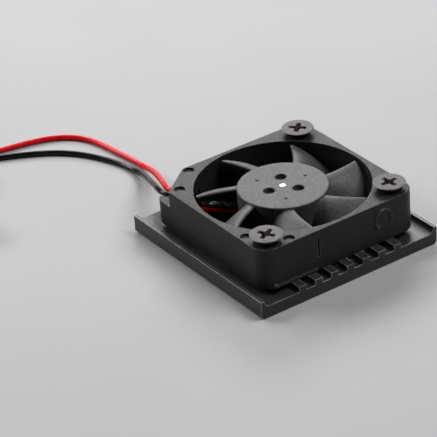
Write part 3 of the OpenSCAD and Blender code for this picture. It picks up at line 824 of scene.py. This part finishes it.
class Finish:
    """Builds one procedural material on the shader's own sockets."""

    def __init__(self, name, roughness=0.5, metallic=0.0, specular=0.5, coat=0.0):
        self.material = bpy.data.materials.new(name)
        self.material.use_nodes = True
        self.tree = self.material.node_tree
        self.shader = self.tree.nodes["Principled BSDF"]
        self.shader.inputs["Roughness"].default_value = roughness
        self.shader.inputs["Metallic"].default_value = metallic
        self.shader.inputs["Specular IOR Level"].default_value = specular
        self.shader.inputs["Coat Weight"].default_value = coat
        self.height = None
        place = self.tree.nodes.new("ShaderNodeTexCoord")
        self.place = place.outputs["Object"]

    def link(self, a, b):
        self.tree.links.new(a, b)

    def stretched(self, scale):
        """Coordinates stretched by a scale along each axis."""
        made = self.tree.nodes.new("ShaderNodeMapping")
        made.inputs["Scale"].default_value = scale
        self.link(self.place, made.inputs["Vector"])
        return made.outputs["Vector"]

    def noise(self, size_mm, detail=3.0, scale=(1, 1, 1), roughness=0.55):
        """Noise whose largest blobs are about this many millimetres across."""
        made = self.tree.nodes.new("ShaderNodeTexNoise")
        made.inputs["Scale"].default_value = 1 / (size_mm * MM)
        made.inputs["Detail"].default_value = detail
        made.inputs["Roughness"].default_value = roughness
        self.link(self.stretched(scale), made.inputs["Vector"])
        return made.outputs["Fac"]

    def ramp(self, value, low, high, start=0.35, end=0.65):
        """Blend of two colours, or of two numbers given as greys, between start and end."""
        made = self.tree.nodes.new("ShaderNodeValToRGB")
        made.color_ramp.elements[0].position = start
        made.color_ramp.elements[1].position = end
        made.color_ramp.elements[0].color = (*low, 1)
        made.color_ramp.elements[1].color = (*high, 1)
        self.link(value, made.inputs["Fac"])
        return made.outputs["Color"]

    def colour(self, value, low, high, start=0.35, end=0.65):
        self.link(self.ramp(value, low, high, start, end), self.shader.inputs["Base Color"])

    def rough(self, value, low, high):
        self.link(self.ramp(value, grey(low), grey(high), 0.3, 0.7),
                  self.shader.inputs["Roughness"])

    def bump(self, value, height_mm, strength=1.0):
        """Adds relief of about this height."""
        made = self.tree.nodes.new("ShaderNodeBump")
        made.inputs["Distance"].default_value = height_mm * MM
        made.inputs["Strength"].default_value = strength
        self.link(value, made.inputs["Height"])
        if self.height is not None:
            self.link(self.height, made.inputs["Normal"])
        self.height = made.outputs["Normal"]
        self.link(self.height, self.shader.inputs["Normal"])

    def edges(self, radius_mm):
        """About 1 on edges and 0 on flat faces."""
        rounded = self.tree.nodes.new("ShaderNodeBevel")
        rounded.samples = 6
        rounded.inputs["Radius"].default_value = radius_mm * MM
        plain = self.tree.nodes.new("ShaderNodeNewGeometry")
        dot = self.tree.nodes.new("ShaderNodeVectorMath")
        dot.operation = "DOT_PRODUCT"
        self.link(rounded.outputs["Normal"], dot.inputs[0])
        self.link(plain.outputs["True Normal"], dot.inputs[1])
        spread = self.tree.nodes.new("ShaderNodeMapRange")
        spread.inputs["From Min"].default_value = EDGE_START
        spread.inputs["From Max"].default_value = EDGE_FULL
        self.link(dot.outputs["Value"], spread.inputs["Value"])
        return spread.outputs["Result"]

    def edge_highlight_colour(self, base, bright, mask, patches):
        """Base colour that turns bright on edges, broken up by patches: a painted highlight along
        the edges of the heat sink and the moulded plastic, and lighter edges on the screws.
        """
        share = self.tree.nodes.new("ShaderNodeMath")
        share.operation = "MULTIPLY"
        self.link(mask, share.inputs[0])
        self.link(patches, share.inputs[1])
        mix = self.tree.nodes.new("ShaderNodeMix")
        mix.data_type = "RGBA"
        self.link(share.outputs["Value"], mix.inputs["Factor"])
        self.link(base, mix.inputs[MIX_A])
        mix.inputs[MIX_B].default_value = (*bright, 1)
        self.link(mix.outputs[MIX_RESULT], self.shader.inputs["Base Color"])


def black_anodised():
    """Extruded aluminium with fine lines along it, and a painted highlight along its edges."""
    m = Finish("black_anodised", specular=0.5)
    grain = m.noise(0.16, 3.0)
    lines = m.noise(0.25, 3.0, (1, 0.02, 1))
    base = m.ramp(grain, (0.010, 0.010, 0.010), (0.026, 0.025, 0.025))
    # The pale colour on the edges is a painted highlight.
    m.edge_highlight_colour(base, (0.66, 0.64, 0.61), m.edges(0.15),
                  m.ramp(m.noise(1.0), grey(0.3), grey(1.0)))
    m.rough(lines, 0.38, 0.50)
    m.bump(grain, 0.012, 0.6)
    m.bump(lines, 0.006, 0.5)
    return m.material


def moulded_black(name, low, high, painted_edge_highlight, specular, rough_low, rough_high, relief):
    """Grained black plastic, with a painted highlight along its edges."""
    m = Finish(name, specular=specular)
    grain = m.noise(0.24, 4.0, roughness=0.65)
    m.edge_highlight_colour(m.ramp(grain, low, high), painted_edge_highlight, m.edges(0.12),
                  m.ramp(m.noise(0.8, 4.0), grey(0.2), grey(1.0)))
    m.rough(m.noise(0.35, 4.0), rough_low, rough_high)
    m.bump(grain, relief, 0.8)
    return m.material


def steel(name, low, high, rough_low, rough_high, metallic, patch_mm=0.6, relief=0.004):
    m = Finish(name, metallic=metallic)
    m.colour(m.noise(patch_mm, 4.0), low, high)
    m.rough(m.noise(patch_mm * 0.7, 5.0), rough_low, rough_high)
    m.bump(m.noise(0.06, 3.0), relief, 0.6)
    return m.material


def black_oxide():
    m = Finish("black_oxide_steel", metallic=0.2, specular=0.36)
    grain = m.noise(0.22, 5.0, roughness=0.65)
    base = m.ramp(grain, (0.030, 0.026, 0.025), (0.065, 0.056, 0.053))
    m.edge_highlight_colour(base, (0.34, 0.30, 0.29), m.edges(0.1),
                  m.ramp(m.noise(0.5), grey(0.2), grey(1.0)))
    m.rough(m.noise(0.3, 5.0), 0.40, 0.56)
    m.bump(grain, 0.014, 0.7)
    return m.material


def insulation(name, low, high, roughness):
    """Extruded PVC: glossy, with faint waviness along the wire and fine specks."""
    m = Finish(name, roughness=roughness, specular=0.2)
    m.colour(m.noise(1.8, 3.0), low, high)
    m.rough(m.noise(0.5, 4.0), roughness - 0.05, roughness + 0.1)
    m.bump(m.noise(0.9, 2.0), 0.015, 0.35)
    m.bump(m.noise(0.07, 2.0), 0.002, 0.5)
    return m.material


def plain_plastic(name, low, high, roughness, grain_mm=0.12, relief=0.008, subsurface=0.0):
    m = Finish(name, roughness=roughness)
    m.shader.inputs["Subsurface Weight"].default_value = subsurface
    m.shader.inputs["Subsurface Scale"].default_value = 0.0006
    m.colour(m.noise(2.2, 4.0), low, high)
    m.rough(m.noise(0.8, 4.0), roughness - 0.06, roughness + 0.08)
    m.bump(m.noise(grain_mm, 3.0), relief, 0.6)
    return m.material


def laminations():
    m = Finish("lamination_steel", metallic=0.85)
    m.colour(m.noise(0.3, 3.0, (0.1, 0.1, 1)), (0.30, 0.30, 0.31), (0.52, 0.52, 0.53))
    m.rough(m.noise(0.5, 4.0), 0.35, 0.55)
    m.bump(m.noise(0.16, 1.0, (0.02, 0.02, 1)), 0.03, 0.9)
    return m.material


def copper_winding():
    m = Finish("enamelled_copper", metallic=0.8, coat=0.4)
    wave = m.tree.nodes.new("ShaderNodeTexWave")
    wave.bands_direction = "DIAGONAL"
    wave.inputs["Scale"].default_value = 1 / (0.9 * MM)
    wave.inputs["Distortion"].default_value = 0.6
    m.link(m.place, wave.inputs["Vector"])
    m.colour(wave.outputs["Fac"], (0.30, 0.10, 0.03), (0.72, 0.32, 0.12), 0.1, 0.7)
    m.rough(m.noise(0.4), 0.25, 0.4)
    m.bump(wave.outputs["Fac"], 0.04, 0.9)
    return m.material


def circuit_board():
    m = Finish("board_laminate", specular=0.5, coat=0.3)
    cells = m.tree.nodes.new("ShaderNodeTexVoronoi")
    cells.distance = "MANHATTAN"
    cells.inputs["Scale"].default_value = 1 / (1.4 * MM)
    m.link(m.place, cells.inputs["Vector"])
    m.colour(cells.outputs["Distance"], (0.010, 0.070, 0.030), (0.030, 0.150, 0.060), 0.38, 0.42)
    m.rough(m.noise(0.6), 0.3, 0.42)
    m.bump(m.noise(0.18, 2.0), 0.008, 0.6)
    return m.material


def foil():
    m = Finish("foil_label", metallic=0.7)
    m.colour(m.noise(3.0, 4.0), (0.52, 0.53, 0.55), (0.66, 0.67, 0.69))
    m.rough(m.noise(0.4, 4.0, (1, 0.05, 1)), 0.3, 0.45)
    m.bump(m.noise(2.5, 3.0), 0.03, 0.5)
    return m.material


def wear(pieces, material):
    """Gives new pieces their material."""
    for piece in pieces:
        piece.data.materials.clear()
        piece.data.materials.append(material)


def wear_node(node, material):
    """Gives a CAD node that stays in view a better material."""
    found = frame["nodes"][node]
    if not found.data.materials:
        found.data.materials.append(material)
    for held in found.material_slots:
        held.material = material


# The fourth colour of each plastic is the painted highlight along its edges.
frame_plastic = moulded_black("frame_plastic", (0.008, 0.008, 0.008), (0.020, 0.019, 0.019),
                              (0.24, 0.235, 0.23), 0.27, 0.44, 0.58, 0.022)
rotor_plastic = moulded_black("impeller_plastic", (0.030, 0.029, 0.029), (0.095, 0.090, 0.088),
                              (0.22, 0.21, 0.205), 0.42, 0.48, 0.60, 0.022)
oxide = black_oxide()
red_pvc = insulation("red_insulation", (0.62, 0.003, 0.006), (0.78, 0.006, 0.010), 0.26)
black_pvc = insulation("black_insulation", (0.004, 0.004, 0.0045), (0.009, 0.009, 0.0095), 0.20)
tie_plastic = plain_plastic("tie_plastic", (0.018, 0.018, 0.018), (0.034, 0.033, 0.032), 0.45)
nylon = plain_plastic("plug_nylon", (0.66, 0.63, 0.55), (0.76, 0.74, 0.66), 0.42, 0.15, 0.010, 0.25)

wear([sink], black_anodised())
wear([housing] + mark, frame_plastic)
wear([impeller], rotor_plastic)
wear(screws, oxide)
wear([red_lead, red_inner], red_pvc)
wear([black_lead, black_inner], black_pvc)
wear(tie, tie_plastic)
wear([plug], nylon)
wear([terminals], steel("tinned_brass", (0.48, 0.45, 0.36), (0.68, 0.64, 0.52), 0.25, 0.42, 0.95))
bright_steel = steel("polished_steel", (0.62, 0.62, 0.63), (0.80, 0.79, 0.77),
                     0.24, 0.36, 1.0, 0.4, 0.001)
wear([shaft], bright_steel)
wear_node("shaft_clip", bright_steel)
wear_node("rotor_yoke", steel("plated_steel", (0.05, 0.05, 0.052), (0.10, 0.10, 0.102),
                              0.4, 0.6, 0.9))
wear_node("rotor_magnet", plain_plastic("bonded_magnet", (0.045, 0.044, 0.044),
                                        (0.09, 0.088, 0.085), 0.6, 0.08, 0.012))
wear_node("hub_label", foil())
wear_node("bearing_sleeve", steel("sintered_bronze", (0.36, 0.20, 0.08), (0.56, 0.36, 0.17),
                                  0.4, 0.6, 0.9, 0.15, 0.01))
wear_node("oil_ring", plain_plastic("black_rubber", (0.015, 0.015, 0.015), (0.03, 0.03, 0.03), 0.7))
pale = plain_plastic("pale_nylon", (0.70, 0.68, 0.60), (0.80, 0.78, 0.71), 0.45, 0.12, 0.008, 0.2)
wear_node("thrust_washer", pale)
wear(insulators, pale)
wear_node("stator_stack", laminations())
wear_node("stator_coils", copper_winding())
wear_node("driver_board", circuit_board())
wear_node("driver_chip", plain_plastic("chip_resin", (0.018, 0.018, 0.019),
                                       (0.03, 0.03, 0.031), 0.5, 0.06))
wear_node("filter_capacitor", plain_plastic("capacitor_ceramic", (0.34, 0.22, 0.12),
                                            (0.46, 0.31, 0.18), 0.35))
wear_node("solder_joints", steel("solder", (0.58, 0.59, 0.61), (0.75, 0.76, 0.78),
                                 0.18, 0.32, 0.95))


# ------------------------------------------------------------------ stage and lights
# In metres: half the floor's side, its depth under the part, and where the lights point.
FLOOR_HALF = 1.2
FLOOR_DROP = 0.00002
LIGHT_AIM = Vector((0, 0, 0.006))


def make_floor():
    """A plain pale floor just under the part."""
    half = FLOOR_HALF
    mesh = bpy.data.meshes.new("floor")
    mesh.from_pydata([(-half, -half, 0), (half, -half, 0), (half, half, 0), (-half, half, 0)],
                     [], [(0, 1, 2, 3)])
    floor = bpy.data.objects.new("floor", mesh)
    floor.location.z = -FLOOR_DROP
    bpy.context.scene.collection.objects.link(floor)
    m = Finish("floor_paper", roughness=0.7, specular=0.2)
    m.colour(m.noise(60, 2.0), (0.43, 0.43, 0.438), (0.45, 0.45, 0.455))
    floor.data.materials.append(m.material)


def make_light(name, azimuth, elevation, distance, size, power):
    """A soft white panel that faces the fan. Angles are in degrees, and azimuth 0 is the front."""
    a, e = math.radians(azimuth), math.radians(elevation)
    away = Vector((math.sin(a) * math.cos(e), -math.cos(a) * math.cos(e), math.sin(e)))
    data = bpy.data.lights.new(name, "AREA")
    data.shape = "RECTANGLE"
    data.size, data.size_y = size
    data.energy = power
    light = bpy.data.objects.new(name, data)
    light.location = LIGHT_AIM + away * distance
    light.rotation_mode = "QUATERNION"
    light.rotation_quaternion = away.to_track_quat("Z", "Y")
    bpy.context.scene.collection.objects.link(light)


make_floor()
make_light("back_panel", 146, 29, 0.55, (0.28, 0.18), 1.6)
make_light("back_middle_panel", 180, 42, 0.6, (0.22, 0.22), 0.9)
make_light("back_left_panel", 214, 31, 0.6, (0.30, 0.22), 2.1)
make_light("high_right_panel", 55, 56, 0.65, (0.34, 0.34), 3.0)

world = bpy.data.worlds.new("studio")
world.use_nodes = True
world.node_tree.nodes["Background"].inputs["Color"].default_value = (0.80, 0.82, 0.85, 1)
world.node_tree.nodes["Background"].inputs["Strength"].default_value = 0.05
bpy.context.scene.world = world
bpy.context.scene.view_settings.view_transform = "Standard"
